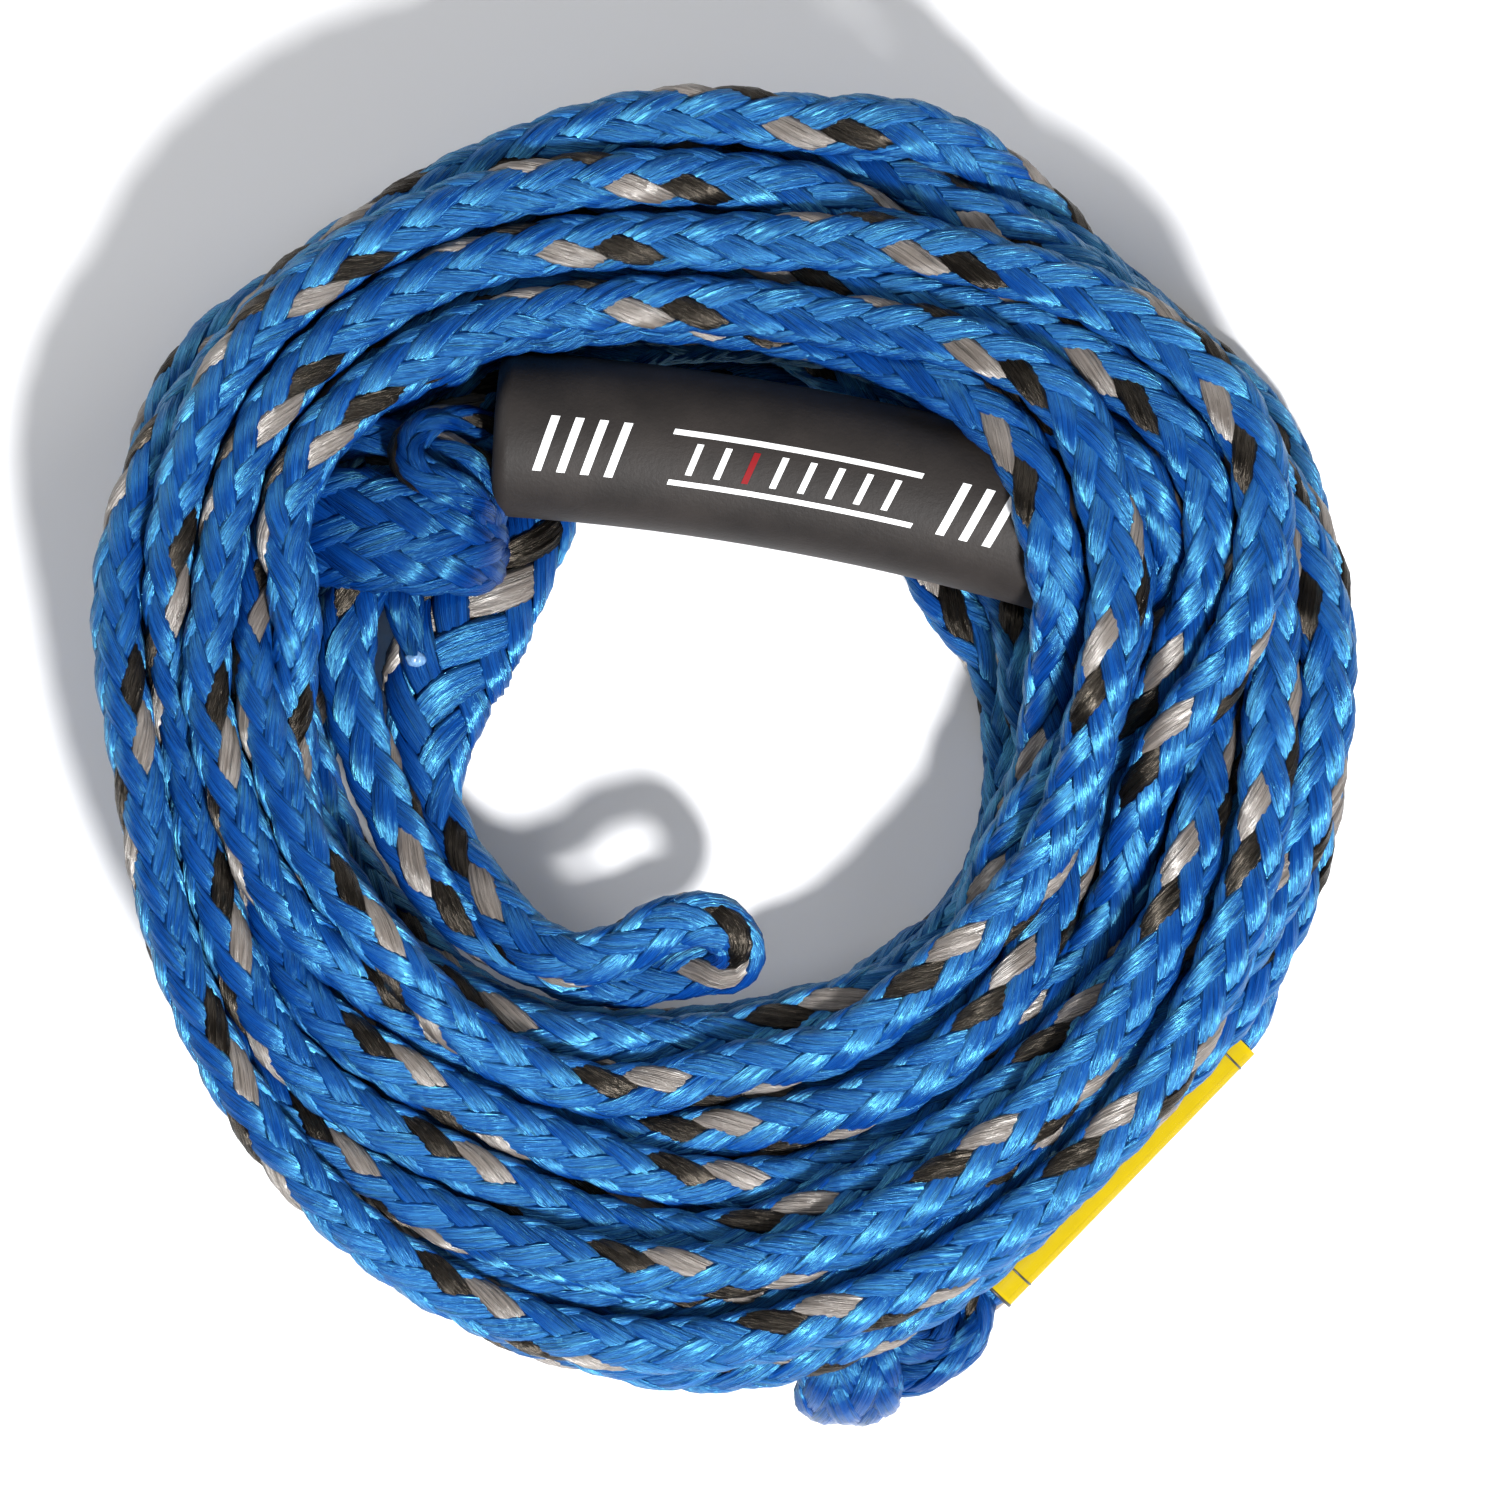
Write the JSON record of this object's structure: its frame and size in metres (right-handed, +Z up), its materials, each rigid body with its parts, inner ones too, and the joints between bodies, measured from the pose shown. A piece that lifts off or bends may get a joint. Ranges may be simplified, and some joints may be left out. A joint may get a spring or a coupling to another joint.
{
  "type": "towable tube rope",
  "caption": "Coiled blue hollow-braid rope for towing an inflatable tube, with a black foam float sleeve, a yellow label sleeve and a knotted loop at each end.",
  "frame": {"origin": "middle of the part's footprint, on the surface that the coil lies on", "axes": "+Z up, out of the flat coil; +Y along the coil's longer way across; +X to the label side"},
  "size_m": [0.287, 0.311, 0.06],
  "materials": {
    "braided_rope": "glossy blue filament yarn with a black and a silver tracer strand",
    "black_foam": "matte closed-cell foam, near black",
    "sealed_fibre": "filaments fused by heat, pale blue",
    "yellow_label": "printed yellow vinyl",
    "clear_film": "clear heat-shrink film"
  },
  "bodies": {
    "rope": {"main_line_coil": "braided_rope", "float_strand": "braided_rope", "inner_knot": "braided_rope", "inner_end_loop": "braided_rope", "inner_loop_throat": "braided_rope", "sealed_tail_end": "sealed_fibre", "label_strand": "braided_rope", "yellow_label": "yellow_label", "clear_label_film": "clear_film", "outer_knot": "braided_rope", "outer_end_loop": "braided_rope"},
    "float": {"foam_float": "black_foam"}
  },
  "joints": [
    {"name": "float_slide_along_rope", "type": "hinge", "parent": "rope", "child": "float", "pos_m": [-0.0892, -0.5251, 0.031], "axis": [0, 0, -1], "range_deg": [0, 1.2]}
  ]
}
